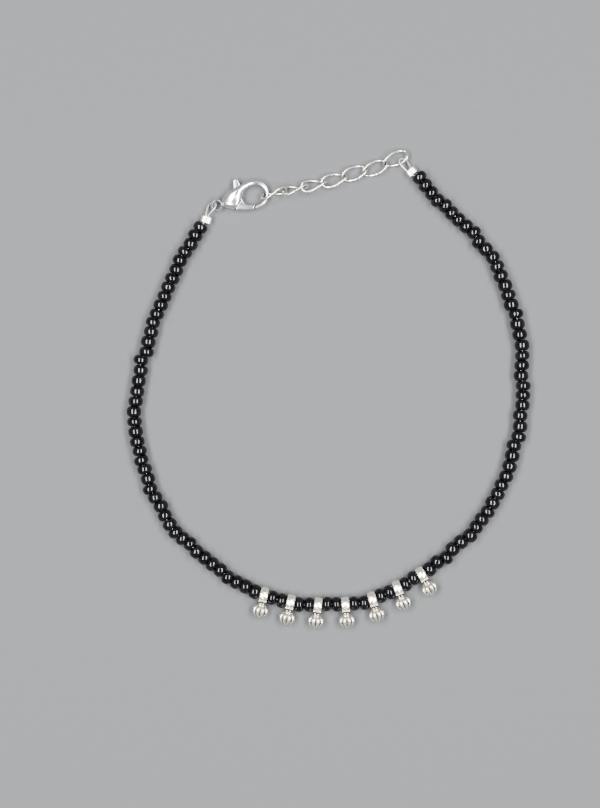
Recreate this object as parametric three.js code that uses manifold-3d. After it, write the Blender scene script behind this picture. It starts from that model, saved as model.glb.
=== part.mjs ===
// A payal anklet laid flat: two strings of black glass beads that meet at a front of seven
// silver bells, closed at the back by a short curb chain and a lobster clasp.
// Millimetres, +Z up. The loop lies in the XY plane with its bells at -Y and its clasp at +Y.
import * as THREE from "three";
import { mergeVertices } from "three/addons/utils/BufferGeometryUtils.js";
import Module from "manifold-3d";

const wasm = await Module();
wasm.setup();

// Beads and the wire that they are strung on
const BEAD_D = 2.9;
const BEAD_LENGTH = 1.85; // of a bead with its own bore
const BEAD_STEP = 2.02; // of a bead in a fused string, rounded to a whole count
const BEAD_END_D = 2.1;
const BEAD_BORE = 0.8;
const WIRE_D = 0.4;
const THREAD_GAP = 0.1; // between neighbours on the wire
const SOCKET_DEPTH = 0.8; // how far the wire is let into the end of a fused string

// Bells, each soldered to a short bail that is threaded between the beads
const BELLS = 7;
const BEADS_BETWEEN = 2;
const BAIL_D = 3.3;
const BAIL_END_D = 3.0;
const BAIL_BORE = 2.1;
const BAIL_WIDTH = 1.55;
const BAIL_BAND = 0.75; // the flat band round a bail's middle
const BELL_D = 3.15;
const BELL_WALL = 0.3;
const BELL_REACH = 3.1; // from the middle of the bail to the middle of the bell
const NECK_D = 1.4;
const SLOTS = 4;
const SLOT_WIDTH = 0.34;

// The chosen points of the bead strings, from the clasp's end round the front to the chain's
const STRING_ROUTE = [
  [-25.2, 33.4], [-28.0, 28.9], [-30.8, 23.8], [-33.3, 18.3], [-36.1, 10.7], [-37.8, 4.8],
  [-38.9, -1.4], [-39.2, -7.2], [-38.0, -12.9], [-36.2, -18.6], [-33.8, -24.1], [-30.4, -29.1],
  [-26.1, -33.0], [-20.0, -37.8], [-13.2, -41.3], [-7.7, -42.8], [-2.2, -43.4], [3.3, -43.3],
  [8.8, -42.2], [13.5, -40.1], [18.5, -37.3], [24.7, -32.5], [29.1, -28.3], [32.6, -23.4],
  [35.5, -17.8], [37.4, -11.9], [38.6, -6.0], [38.9, 0.1], [38.8, 6.3], [38.1, 12.3],
  [36.6, 18.1], [34.3, 23.9], [31.1, 29.0], [26.8, 33.5], [22.0, 38.3], [17.3, 43.2],
];
const MIDDLE_BELL_AT = 105.4; // along the route from the clasp's end to the middle bell

// The chosen points of the chain between the hook and the far wire loop
const CHAIN_ROUTE = [[-2.8, 41.4], [5.1, 43.6]];
const CHAIN_END = [15.66, 46.45]; // middle of the wire at the last link's far end

// Curb chain
const LINK_LENGTH = 5.5;
const LINK_WIDTH = 3.1;
const LINK_WIRE = 0.55;
const LINK_TWIST = 90; // degrees from one end of a link to the other
const LINK_PLAY = 0.15; // least play between two crossing ends
const FIRST_LINK_ROLL = -42; // degrees, so that the first link stands on edge in the hook
const ROLL_FADE = 0.5; // share of its roll that each link passes on to the next
const CHAIN_END_HEIGHT = 1.0; // middle of the last link's far end above the surface

// Crimps and the wire loops behind them
const CRIMP_WIDTH = 2.1;
const CRIMP_LENGTH = 1.4;
const CRIMP_THICK = 0.95;
const LEG_SPACING = 0.5; // between the two legs of a loop inside its crimp
const FIT_GAP = 0.15; // round a pin, a wire or a lever

// Lobster clasp, in its own frame: the eye's middle is its origin, the hook points along +X
const CLASP_LENGTH = 12;
const CLASP_THICK = 2.7;
const CLASP_ANGLE = 10.9; // degrees from +X
const EYE_AT = [-22.5, 37.1];
const EYE_D = 2.4;
const EYE_HOLE = 1.55;
const EYE_THICK = 1.1;
const EYE_WIRE_ANGLE = 165; // degrees, where the wire loop passes round the eye
const BODY_LENGTH = 5.4; // from the eye's middle to the mouth of the hook
const BODY_DEPTH = 4.4;
const HOOK_LAP = 0.38; // how far the hook's oval reaches back into the body
const HOOK_SPAN = 4.9; // across the hook, between the middles of its wire
const HOOK_RISE = 0.35; // of the hook's middle above the eye's
const HOOK_WIRE = 0.95;
const HOOK_START = 140; // degrees round the hook's oval
const HOOK_END = -92;
const PIVOT_BACK = 0.8; // of the lever's pin behind the mouth of the hook
const PIVOT_RISE = 0.45; // of the pin above the eye's middle
const PIN_D = 0.5;
const LEVER_THICK = 0.85;
const TAB_RISE = 3.85; // above the pivot
const GATE_LIP = 0.1; // of the closed gate below the middle of the hook's tip

// Mesh fineness
const BEAD_SIDES = 10;
const SILVER_SIDES = 12;
const WIRE_SIDES = 6;
const LINK_STEPS = 16;
const LOOP_STEPS = 22;

// Bead outline: share of the length, and share of the rise from its end to its widest ring
const BEAD_PROFILE = [
  { along: 0, rise: 0 },
  { along: 0.22, rise: 0.78 },
  { along: 0.5, rise: 1 },
  { along: 0.78, rise: 0.78 },
];

// Hook sections: share of its length, then width and height in shares of HOOK_WIRE
const HOOK_SECTIONS = [
  { along: 0, width: 1.35, height: 2.45 },
  { along: 0.1, width: 1.3, height: 2.35 },
  { along: 0.22, width: 1.15, height: 1.75 },
  { along: 0.34, width: 1.05, height: 1.25 },
  { along: 0.46, width: 1, height: 1 },
  { along: 0.58, width: 1, height: 1 },
  { along: 0.7, width: 0.95, height: 1 },
  { along: 0.8, width: 0.85, height: 0.95 },
  { along: 0.9, width: 0.72, height: 0.9 },
  { along: 1, width: 0.6, height: 0.85 },
];

// Clasp body outline: shares of BODY_LENGTH along and of BODY_DEPTH across
const BODY_OUTLINE = [
  { x: 0.18, y: 0.2 }, { x: 0.42, y: 0.36 }, { x: 0.68, y: 0.56 }, { x: 0.95, y: 0.64 },
  { x: 1.2, y: 0.68 }, { x: 1.22, y: 0.5 }, { x: 1.04, y: 0.38 }, { x: 0.98, y: 0.18 },
  { x: 0.97, y: -0.06 }, { x: 0.74, y: -0.3 }, { x: 0.66, y: -0.35 }, { x: 0.34, y: -0.19 },
  { x: 0.18, y: -0.16 },
];

// Clasp body seen from its edge: share of BODY_LENGTH along, share of CLASP_THICK thick
const BODY_EDGE = [
  { x: 0.1, thick: 0.36 }, { x: 0.3, thick: 0.62 }, { x: 0.52, thick: 0.92 },
  { x: 0.7, thick: 1 }, { x: 0.98, thick: 1 }, { x: 1.24, thick: 0.84 },
];

// Lever outline round the pivot: x in shares of GATE_REACH, y of TAB_RISE above it and of
// GATE_DROP below it
const LEVER_OUTLINE = [
  { x: -0.07, y: 0.98 }, { x: 0.12, y: 1 }, { x: 0.24, y: 0.84 }, { x: 0.25, y: 0.6 },
  { x: 0.24, y: 0.2 }, { x: 0.21, y: -0.2 }, { x: 0.3, y: -0.36 }, { x: 1, y: -0.78 },
  { x: 0.88, y: -1 }, { x: 0.3, y: -1 }, { x: -0.3, y: -0.8 }, { x: -0.36, y: -0.55 },
  { x: -0.27, y: 0.1 }, { x: -0.24, y: 0.55 }, { x: -0.22, y: 0.74 },
];

// Slot in the clasp body that the lever swings in, in the same shares as the lever
const SLOT_OUTLINE = [
  { x: -0.72, y: 0.85 }, { x: -0.68, y: 0.5 }, { x: -0.48, y: 0.15 }, { x: -0.44, y: -1.05 },
  { x: 0.41, y: -1.2 }, { x: 0.41, y: 0.3 }, { x: 0.37, y: 0.85 },
];

const glass = new THREE.MeshStandardMaterial({ color: 0x0b0b0d, roughness: 0.12, metalness: 0 });
const silver = new THREE.MeshStandardMaterial({ color: 0xd6d2c6, roughness: 0.3, metalness: 1 });
const chainSilver = new THREE.MeshStandardMaterial({ color: 0xd9cfb4, roughness: 0.25, metalness: 1 });
const coatedWire = new THREE.MeshStandardMaterial({ color: 0xdcdcd8, roughness: 0.5, metalness: 0 });

const radians = THREE.MathUtils.degToRad;

// Places in the clasp's frame that its pieces share
const HOOK_FAR = CLASP_LENGTH - EYE_D / 2 - HOOK_WIRE / 2;
const HOOK_REACH = (HOOK_FAR - BODY_LENGTH + HOOK_LAP) / 2;
const HOOK_MIDDLE = [HOOK_FAR - HOOK_REACH, HOOK_RISE];
const HOOK_TIP_X = HOOK_MIDDLE[0] + HOOK_REACH * Math.cos(radians(HOOK_END));
const HOOK_TIP_Y = HOOK_RISE + (HOOK_SPAN / 2) * Math.sin(radians(HOOK_END));
const PIVOT = [BODY_LENGTH - PIVOT_BACK, PIVOT_RISE];
const GATE_REACH = HOOK_TIP_X - FIT_GAP - PIVOT[0];
const GATE_DROP = PIVOT_RISE - HOOK_TIP_Y + GATE_LIP;

const UP = new THREE.Vector3(0, 0, 1);
const CLASP_MIDDLE = CLASP_THICK / 2;
const STRING_HEIGHT = BEAD_D / 2;
const anklet = new THREE.Group();

function piece(name, geometry, material) {
  const mesh = new THREE.Mesh(geometry, material);
  mesh.name = name;
  return mesh;
}

// Puts a mesh made along its own X at a point, turned level to a direction
function lay(mesh, point, direction) {
  mesh.position.copy(point);
  mesh.rotation.z = Math.atan2(direction.y, direction.x);
  anklet.add(mesh);
}

function toSolid(geometry) {
  const bare = geometry.clone();
  bare.deleteAttribute("normal");
  bare.deleteAttribute("uv");
  const merged = mergeVertices(bare, 1e-4);
  const index = Array.from(merged.index.array);
  const kept = [];
  for (let i = 0; i < index.length; i += 3) {
    const [a, b, c] = index.slice(i, i + 3);
    if (a !== b && b !== c && a !== c) kept.push(a, b, c);
  }
  return new wasm.Manifold(new wasm.Mesh({
    numProp: 3,
    vertProperties: new Float32Array(merged.attributes.position.array),
    triVerts: new Uint32Array(kept),
  }));
}

function toGeometry(solid) {
  const mesh = solid.getMesh();
  const geometry = new THREE.BufferGeometry();
  geometry.setAttribute("position", new THREE.BufferAttribute(mesh.vertProperties, 3));
  geometry.setIndex(new THREE.BufferAttribute(mesh.triVerts, 1));
  geometry.computeVertexNormals();
  return geometry;
}

// A closed outline of { along, radius } rows turned about the X axis, with a flat side down
function turned(rows, sides) {
  const flat = 1 / Math.cos(Math.PI / sides);
  const outline = [...rows, rows[0]].map((row) => new THREE.Vector2(row.radius * flat, row.along));
  const geometry = new THREE.LatheGeometry(outline, sides, Math.PI / sides);
  return geometry.rotateZ(-Math.PI / 2);
}

// Rings of { at, width, height } strung square to a level curve and closed by a cap at each end
function loft(curve, rings, sides) {
  const rows = rings.length - 1;
  const flat = 1 / Math.cos(Math.PI / sides);
  const geometry = new THREE.CylinderGeometry(1, 1, rows, sides, rows, false, Math.PI / sides);
  const position = geometry.attributes.position;
  const length = curve.getLength();
  for (let i = 0; i < position.count; i += 1) {
    const ring = rings[Math.round(rows / 2 - position.getY(i))];
    const share = THREE.MathUtils.clamp(ring.at / length, 0, 1);
    const side = new THREE.Vector3().crossVectors(UP, curve.getTangentAt(share)).normalize();
    const point = curve.getPointAt(share);
    point.addScaledVector(side, (position.getX(i) * flat * ring.width) / 2);
    point.addScaledVector(UP, (position.getZ(i) * flat * ring.height) / 2);
    position.setXYZ(i, point.x, point.y, point.z);
  }
  return geometry;
}

function polygon(points) {
  return new THREE.Shape(points.map(([x, y]) => new THREE.Vector2(x, y)));
}

// A flat outline extruded to a thickness about the XY plane
function plate(points, thick) {
  const geometry = new THREE.ExtrudeGeometry(polygon(points), { depth: thick, bevelEnabled: false });
  return geometry.translate(0, 0, -thick / 2);
}

// A pin along Z through a point of the XY plane
function pin(diameter, length, [x, y]) {
  const geometry = new THREE.CylinderGeometry(diameter / 2, diameter / 2, length, WIRE_SIDES * 2);
  return geometry.rotateX(Math.PI / 2).translate(x, y, 0);
}

function levelCurve(points, height) {
  const curve = new THREE.CatmullRomCurve3(points.map(([x, y]) => new THREE.Vector3(x, y, height)));
  curve.arcLengthDivisions = 2000;
  return curve;
}

const route = levelCurve(STRING_ROUTE, STRING_HEIGHT);
const routeLength = route.getLength();

function alongRoute(at) {
  const share = THREE.MathUtils.clamp(at / routeLength, 0, 1);
  return { point: route.getPointAt(share), tangent: route.getTangentAt(share) };
}

// Front of the anklet: bells with beads between them, all on one wire
const bellStep = BAIL_WIDTH + BEADS_BETWEEN * BEAD_LENGTH + (BEADS_BETWEEN + 1) * THREAD_GAP;

function bellAt(i) {
  return MIDDLE_BELL_AT + (i - (BELLS - 1) / 2) * bellStep;
}

function beadRadius(rise) {
  return (BEAD_END_D + (BEAD_D - BEAD_END_D) * rise) / 2;
}

function drilledBead() {
  const outer = BEAD_PROFILE.map(({ along, rise }) => ({
    along: (along - 0.5) * BEAD_LENGTH,
    radius: beadRadius(rise),
  }));
  return turned([
    { along: BEAD_LENGTH / 2, radius: BEAD_BORE / 2 },
    { along: -BEAD_LENGTH / 2, radius: BEAD_BORE / 2 },
    ...outer,
    { along: BEAD_LENGTH / 2, radius: BEAD_END_D / 2 },
  ], BEAD_SIDES);
}

// A bail with its bell: X along the wire, the bell at -Y, both resting on the same surface
function bellSolid() {
  const half = BAIL_WIDTH / 2;
  const bail = toSolid(turned([
    { along: half, radius: BAIL_BORE / 2 },
    { along: -half, radius: BAIL_BORE / 2 },
    { along: -half, radius: BAIL_END_D / 2 },
    { along: -BAIL_BAND / 2, radius: BAIL_D / 2 },
    { along: BAIL_BAND / 2, radius: BAIL_D / 2 },
    { along: half, radius: BAIL_END_D / 2 },
  ], SILVER_SIDES));
  const neckTop = (BAIL_D + BAIL_BORE) / 4;
  const neckBottom = BELL_REACH - BELL_D / 2 + BELL_WALL / 2;
  const neck = toSolid(new THREE.CylinderGeometry(
    NECK_D / 2, NECK_D / 2, neckBottom - neckTop, SILVER_SIDES / 2,
  ).translate(0, -(neckTop + neckBottom) / 2, 0));
  return bail.add(neck.add(bellShell()));
}

function ball(radius, sides, rows) {
  const flat = 1 / Math.cos(Math.PI / sides);
  const geometry = new THREE.SphereGeometry(radius, sides, rows, Math.PI / sides);
  return geometry.scale(flat, 1, flat);
}

// A hollow ball with slots that meet at its free end
function bellShell() {
  const radius = BELL_D / 2;
  let shell = toSolid(ball(radius, SILVER_SIDES, SILVER_SIDES / 2));
  shell = shell.subtract(toSolid(ball(radius - BELL_WALL, SILVER_SIDES - 4, 4)));
  for (let i = 0; i < SLOTS; i += 1) {
    const slot = new THREE.BoxGeometry(radius * 0.78, radius, SLOT_WIDTH);
    slot.translate(radius * 0.39 - SLOT_WIDTH / 4, -radius, 0);
    slot.rotateY(((i + 0.5) * 2 * Math.PI) / SLOTS);
    shell = shell.subtract(toSolid(slot));
  }
  return shell.translate([0, -BELL_REACH, (BELL_D - BAIL_D) / 2]);
}

function addFront() {
  const wireStart = bellAt(0) - BAIL_WIDTH / 2 - SOCKET_DEPTH;
  const wireEnd = bellAt(BELLS - 1) + BAIL_WIDTH / 2 + SOCKET_DEPTH;
  const steps = 2 * BELLS + 4;
  const rings = Array.from({ length: steps + 1 }, (_, i) => ({
    at: wireStart + ((wireEnd - wireStart) * i) / steps,
    width: WIRE_D,
    height: WIRE_D,
  }));
  anklet.add(piece("front_wire", loft(route, rings, WIRE_SIDES), coatedWire));

  const bead = drilledBead();
  const bell = toGeometry(bellSolid());
  let beadNumber = 0;
  for (let i = 0; i < BELLS; i += 1) {
    const { point, tangent } = alongRoute(bellAt(i));
    point.z = BAIL_D / 2;
    lay(piece(`bell_${i + 1}`, bell, silver), point, tangent);
    if (i === BELLS - 1) break;
    for (let j = 0; j < BEADS_BETWEEN; j += 1) {
      beadNumber += 1;
      const offset = BAIL_WIDTH / 2 + (j + 1) * THREAD_GAP + (j + 0.5) * BEAD_LENGTH;
      const place = alongRoute(bellAt(i) + offset);
      lay(piece(`front_bead_${beadNumber}`, bead, glass), place.point, place.tangent);
    }
  }
}

// A whole string of beads as one body, with a socket for the wire in each end
function addString(name, from, to) {
  const count = Math.round((to - from) / BEAD_STEP);
  const pitch = (to - from) / count;
  const rings = [
    { at: from + SOCKET_DEPTH, radius: BEAD_BORE / 2 },
    { at: from, radius: BEAD_BORE / 2 },
  ];
  for (let i = 0; i < count; i += 1) {
    for (const { along, rise } of BEAD_PROFILE) {
      rings.push({ at: from + (i + along) * pitch, radius: beadRadius(rise) });
    }
  }
  rings.push(
    { at: to, radius: beadRadius(0) },
    { at: to, radius: BEAD_BORE / 2 },
    { at: to - SOCKET_DEPTH, radius: BEAD_BORE / 2 },
  );
  const round = rings.map(({ at, radius }) => ({ at, width: 2 * radius, height: 2 * radius }));
  anklet.add(piece(name, loft(route, round, BEAD_SIDES), glass));
}

// The middle line of a curb link: an oval twisted about its long axis
class CurbOval extends THREE.Curve {
  getPoint(t, target = new THREE.Vector3()) {
    const angle = 2 * Math.PI * t;
    const x = Math.cos(angle) * (LINK_LENGTH - LINK_WIRE) / 2;
    const reach = Math.sin(angle) * (LINK_WIDTH - LINK_WIRE) / 2;
    const twist = radians(LINK_TWIST / 2) * Math.cos(angle);
    return target.set(x, reach * Math.cos(twist), reach * Math.sin(twist));
  }
}

// Chain from the hook to the far wire loop; returns where that loop takes hold of its last link
function addChain(hookWire) {
  const link = new THREE.TubeGeometry(new CurbOval(), LINK_STEPS, LINK_WIRE / 2, WIRE_SIDES, true);
  link.computeBoundingBox();
  const lying = -link.boundingBox.min.z;
  const next = new THREE.Vector3(...CHAIN_ROUTE[0], lying);
  const pull = next.clone().sub(hookWire).setZ(0).normalize();
  const first = hookWire.clone().addScaledVector(pull, -(HOOK_WIRE + LINK_WIRE) / 2 - FIT_GAP);
  const middle = CHAIN_ROUTE.map(([x, y]) => new THREE.Vector3(x, y, lying));
  const last = new THREE.Vector3(...CHAIN_END, CHAIN_END_HEIGHT);
  const line = new THREE.CatmullRomCurve3([first, ...middle, last]);
  const centreLength = LINK_LENGTH - LINK_WIRE;
  const longest = centreLength - LINK_WIRE - LINK_PLAY;
  const links = Math.ceil((line.getLength() - centreLength) / longest) + 1;
  const pitch = (line.getLength() - centreLength) / (links - 1);
  for (let i = 0; i < links; i += 1) {
    const start = line.getPointAt((i * pitch) / line.getLength());
    const end = line.getPointAt(Math.min((i * pitch + centreLength) / line.getLength(), 1));
    const along = end.clone().sub(start).normalize();
    const side = new THREE.Vector3().crossVectors(UP, along).normalize();
    const basis = new THREE.Matrix4().makeBasis(along, side, along.clone().cross(side));
    const mesh = piece(`chain_link_${i + 1}`, link, chainSilver);
    mesh.rotation.setFromRotationMatrix(basis);
    mesh.rotateX(radians(FIRST_LINK_ROLL) * ROLL_FADE ** i);
    mesh.position.copy(start.add(end).multiplyScalar(0.5));
    mesh.position.z -= Math.min(new THREE.Box3().setFromObject(mesh, true).min.z, 0);
    anklet.add(mesh);
  }
  const beforeLast = line.getPointAt(1 - centreLength / line.getLength());
  return { end: last, inward: beforeLast.sub(last).setZ(0).normalize() };
}

// A stadium outline along Y with its round ends at both sides
function stadium(width, height, steps) {
  const radius = height / 2;
  const points = [];
  for (const side of [1, -1]) {
    for (let i = 0; i <= steps; i += 1) {
      const angle = -Math.PI / 2 + (Math.PI * i) / steps;
      const y = side * (width / 2 - radius + radius * Math.cos(angle));
      points.push([y, side * radius * Math.sin(angle)]);
    }
  }
  return points;
}

// A flattened tube, its bore along X
function crimpTube() {
  const outline = polygon(stadium(CRIMP_WIDTH, CRIMP_THICK, 5));
  const boreWidth = LEG_SPACING + WIRE_D + 2 * FIT_GAP;
  const boreHeight = WIRE_D + FIT_GAP;
  outline.holes.push(new THREE.Path(polygon(stadium(boreWidth, boreHeight, 3)).getPoints()));
  const tube = new THREE.ExtrudeGeometry(outline, { depth: CRIMP_LENGTH, bevelEnabled: false });
  tube.translate(0, 0, -CRIMP_LENGTH / 2);
  return tube.rotateX(Math.PI / 2).rotateZ(Math.PI / 2);
}

// A crimp at the end of a string, and the wire loop that leaves it round a ring's wall
function addEnd(side, at, outward, wall) {
  const { point, tangent } = alongRoute(at);
  const away = tangent.clone().multiplyScalar(outward);
  const across = new THREE.Vector3().crossVectors(UP, away);
  const crimp = point.clone().addScaledVector(away, THREAD_GAP + CRIMP_LENGTH / 2);
  lay(piece(`crimp_${side}`, crimpTube(), silver), crimp, away);

  const clear = WIRE_D / 2 + FIT_GAP;
  const beyond = wall.width / 2 + clear;
  const over = wall.height / 2 + clear;
  const leg = (distance, offset) => crimp.clone()
    .addScaledVector(away, distance)
    .addScaledVector(across, offset);
  const round = (inward, up) => wall.point.clone()
    .addScaledVector(wall.inward, inward * beyond)
    .addScaledVector(UP, up * over);
  const half = CRIMP_LENGTH / 2;
  const spread = LEG_SPACING / 2;
  const line = new THREE.CatmullRomCurve3([
    point.clone().addScaledVector(away, THREAD_GAP - SOCKET_DEPTH),
    leg(-half, spread * 0.4),
    leg(0, spread),
    leg(half + WIRE_D, spread),
    round(-0.9, 0.9),
    round(0.2, 1.05),
    round(1, 0),
    round(0.2, -1.05),
    round(-0.9, -0.9),
    leg(half + WIRE_D, -spread),
    leg(0, -spread),
    leg(THREAD_GAP - half, -spread),
  ]);
  const section = [];
  for (let i = 0; i < WIRE_SIDES; i += 1) {
    const angle = (2 * Math.PI * i) / WIRE_SIDES;
    section.push([Math.cos(angle) * WIRE_D / 2, Math.sin(angle) * WIRE_D / 2]);
  }
  const wire = new THREE.ExtrudeGeometry(polygon(section), {
    steps: LOOP_STEPS,
    extrudePath: line,
  });
  anklet.add(piece(`wire_loop_${side}`, wire, coatedWire));
}

function fromShares(rows) {
  return rows.map(({ x, y }) => [
    PIVOT[0] + x * GATE_REACH,
    PIVOT[1] + y * (y > 0 ? TAB_RISE : GATE_DROP),
  ]);
}

function hookLine() {
  const oval = new THREE.EllipseCurve(
    ...HOOK_MIDDLE, HOOK_REACH, HOOK_SPAN / 2, radians(HOOK_START), radians(HOOK_END), true,
  );
  return levelCurve(oval.getPoints(24).map(({ x, y }) => [x, y]), 0);
}

function claspBody() {
  const eyeEdge = EYE_THICK / 2;
  const eye = toSolid(turned([
    { along: eyeEdge * 0.6, radius: EYE_HOLE / 2 },
    { along: -eyeEdge * 0.6, radius: EYE_HOLE / 2 },
    { along: -eyeEdge, radius: (EYE_HOLE + EYE_D) / 4 },
    { along: -eyeEdge * 0.5, radius: EYE_D / 2 },
    { along: eyeEdge * 0.5, radius: EYE_D / 2 },
    { along: eyeEdge, radius: (EYE_HOLE + EYE_D) / 4 },
  ], SILVER_SIDES).rotateY(Math.PI / 2));
  const outline = BODY_OUTLINE.map(({ x, y }) => [x * BODY_LENGTH, y * BODY_DEPTH]);
  const edge = BODY_EDGE.map(({ x, thick }) => [x * BODY_LENGTH, (thick * CLASP_THICK) / 2]);
  const mirrored = edge.map(([x, z]) => [x, -z]).reverse();
  const edgeView = plate([...edge, ...mirrored], 2 * BODY_DEPTH).rotateX(Math.PI / 2);
  const block = toSolid(plate(outline, CLASP_THICK)).intersect(toSolid(edgeView));
  const line = hookLine();
  const sections = HOOK_SECTIONS.map(({ along, width, height }) => ({
    at: along * line.getLength(),
    width: width * HOOK_WIRE,
    height: height * HOOK_WIRE,
  }));
  const hook = toSolid(loft(line, sections, BEAD_SIDES));
  const slot = toSolid(plate(fromShares(SLOT_OUTLINE), LEVER_THICK + 2 * FIT_GAP));
  const bore = toSolid(pin(PIN_D + 2 * FIT_GAP, CLASP_THICK * 2, PIVOT));
  return eye.add(block).add(hook).subtract(slot).subtract(bore);
}

function claspLever() {
  const blade = toSolid(plate(fromShares(LEVER_OUTLINE), LEVER_THICK));
  return blade.subtract(toSolid(pin(PIN_D + 2 * FIT_GAP, CLASP_THICK, PIVOT)));
}

// The clasp in a turned group; returns where its wire loop and the chain take hold
function addClasp() {
  const clasp = new THREE.Group();
  clasp.position.set(...EYE_AT, CLASP_MIDDLE);
  clasp.rotation.z = radians(CLASP_ANGLE);
  clasp.add(piece("clasp_body", toGeometry(claspBody()), silver));
  clasp.add(piece("clasp_lever", toGeometry(claspLever()), silver));
  clasp.add(piece("clasp_pin", pin(PIN_D, CLASP_THICK - FIT_GAP, PIVOT), silver));
  anklet.add(clasp);
  clasp.updateMatrixWorld(true);

  const turn = radians(EYE_WIRE_ANGLE);
  const outward = new THREE.Vector3(Math.cos(turn), Math.sin(turn), 0);
  const wall = {
    point: clasp.position.clone().addScaledVector(outward, (EYE_D + EYE_HOLE) / 4),
    inward: outward.clone().negate(),
    width: (EYE_D - EYE_HOLE) / 2,
    height: EYE_THICK,
  };
  const farEnd = new THREE.Vector3(HOOK_FAR, HOOK_RISE, 0);
  return { wall, hookWire: clasp.localToWorld(farEnd) };
}

const { wall: eyeWall, hookWire } = addClasp();
const chain = addChain(hookWire);
const linkWall = { point: chain.end, inward: chain.inward, width: LINK_WIRE, height: LINK_WIRE };
addEnd("left", 0, -1, eyeWall);
addEnd("right", routeLength, 1, linkWall);
addFront();
const frontEdge = BAIL_WIDTH / 2 + THREAD_GAP;
addString("bead_string_left", 0, bellAt(0) - frontEdge);
addString("bead_string_right", bellAt(BELLS - 1) + frontEdge, routeLength);

// The origin is the middle of the anklet's box, on the surface that it lies on
const box = new THREE.Box3().setFromObject(anklet, true);
const middle = box.getCenter(new THREE.Vector3());
anklet.position.set(-middle.x, -middle.y, -box.min.z);

export default anklet;
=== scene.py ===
# %% [markdown]
# # A payal anklet, laid flat
# Black glass beads run round to a front of seven small silver bells, and a short curb chain
# and a lobster clasp close the loop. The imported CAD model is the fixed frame: it says where
# every piece goes, and this lesson models each piece again with its real roundings, grooves
# and finishes. Everything is in metres, so a millimetre is a thousandth.

# %% Load the frame
import math
import random
from bisect import bisect_left

import bmesh
import bpy
from mathutils import Matrix, Vector


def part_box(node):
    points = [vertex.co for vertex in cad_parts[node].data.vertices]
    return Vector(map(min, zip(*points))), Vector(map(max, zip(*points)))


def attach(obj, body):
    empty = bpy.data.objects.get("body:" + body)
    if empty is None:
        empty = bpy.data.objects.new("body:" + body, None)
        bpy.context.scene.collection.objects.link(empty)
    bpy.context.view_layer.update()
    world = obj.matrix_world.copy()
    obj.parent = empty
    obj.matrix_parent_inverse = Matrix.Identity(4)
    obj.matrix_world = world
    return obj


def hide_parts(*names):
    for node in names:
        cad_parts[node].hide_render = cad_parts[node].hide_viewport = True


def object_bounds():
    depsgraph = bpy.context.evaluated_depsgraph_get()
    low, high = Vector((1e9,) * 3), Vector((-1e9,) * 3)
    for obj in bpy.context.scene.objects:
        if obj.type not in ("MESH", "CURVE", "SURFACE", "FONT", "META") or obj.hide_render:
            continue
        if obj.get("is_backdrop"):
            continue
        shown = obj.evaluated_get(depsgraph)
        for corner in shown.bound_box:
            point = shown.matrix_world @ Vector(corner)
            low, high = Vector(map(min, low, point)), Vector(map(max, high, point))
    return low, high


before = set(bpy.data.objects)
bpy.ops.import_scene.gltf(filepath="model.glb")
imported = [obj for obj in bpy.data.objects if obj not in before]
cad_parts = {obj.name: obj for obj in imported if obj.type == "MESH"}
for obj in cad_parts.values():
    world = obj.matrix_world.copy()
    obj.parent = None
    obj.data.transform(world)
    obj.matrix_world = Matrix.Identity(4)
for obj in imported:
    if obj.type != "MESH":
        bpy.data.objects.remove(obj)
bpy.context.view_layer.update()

# %% [markdown]
# ## Small helpers
# An operator works on all that is selected, and loading the frame leaves its nodes selected.
# So every step starts by choosing one object alone, and inside edit mode the corners, edges
# or faces are chosen in code, by where they are. A finished piece keeps its place in its
# mesh: its object stays at the origin, unturned and unscaled.

# %% Choose, edit and finish
MM = 0.001
MERGE = 0.001 * MM  # corners closer than this are one corner
radians = math.radians


def alone(thing):
    """Selects one object and nothing else."""
    bpy.ops.object.select_all(action="DESELECT")
    thing.select_set(True)
    bpy.context.view_layer.objects.active = thing


def begin(thing, kind="VERT"):
    """Goes into edit mode on one object."""
    alone(thing)
    bpy.ops.object.mode_set(mode="EDIT")
    bpy.ops.mesh.select_mode(type=kind)


def end():
    bpy.ops.object.mode_set(mode="OBJECT")


def middle_of(row):
    """The middle of an edge or a face."""
    return sum((corner.co for corner in row.verts), Vector()) / len(row.verts)


def pick(thing, kind, test):
    """In edit mode, selects the corners, edges or faces that pass a test."""
    bpy.ops.mesh.select_mode(type=kind)
    bpy.ops.mesh.select_all(action="DESELECT")
    mesh = bmesh.from_edit_mesh(thing.data)
    rows = {"VERT": mesh.verts, "EDGE": mesh.edges, "FACE": mesh.faces}[kind]
    for row in rows:
        row.select_set(test(row))
    mesh.select_flush_mode()
    bmesh.update_edit_mesh(thing.data)


def added(name):
    """Names the object that an operator has just added, and its mesh."""
    thing = bpy.context.active_object
    thing.name = name
    thing.data.name = name
    return thing


def close_up(thing):
    """Merges the seams of a turned or joined mesh and points its faces outwards."""
    begin(thing)
    bpy.ops.mesh.select_all(action="SELECT")
    bpy.ops.mesh.remove_doubles(threshold=MERGE)
    bpy.ops.mesh.normals_make_consistent(inside=False)
    end()


def apply_modifier(thing, kind, **settings):
    """Adds one modifier, sets it and applies it."""
    alone(thing)
    modifier = thing.modifiers.new(kind.title(), kind)
    for key, value in settings.items():
        setattr(modifier, key, value)
    bpy.ops.object.modifier_apply(modifier=modifier.name)


def smooth(thing, degrees):
    """Shades an object smooth, but for edges sharper than this."""
    alone(thing)
    bpy.ops.object.shade_smooth_by_angle(angle=radians(degrees))


def copy_to(model, name, matrix):
    """A copy with a mesh of its own, its place in that mesh."""
    twin = bpy.data.objects.new(name, model.data.copy())
    twin.data.name = name
    bpy.context.scene.collection.objects.link(twin)
    twin.matrix_world = matrix
    alone(twin)
    bpy.ops.object.transform_apply(location=True, rotation=True, scale=True)
    return twin


def joined(name, things):
    """Several objects made one."""
    alone(things[0])
    for thing in things:
        thing.select_set(True)
    bpy.ops.object.join()
    return added(name)


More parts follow.
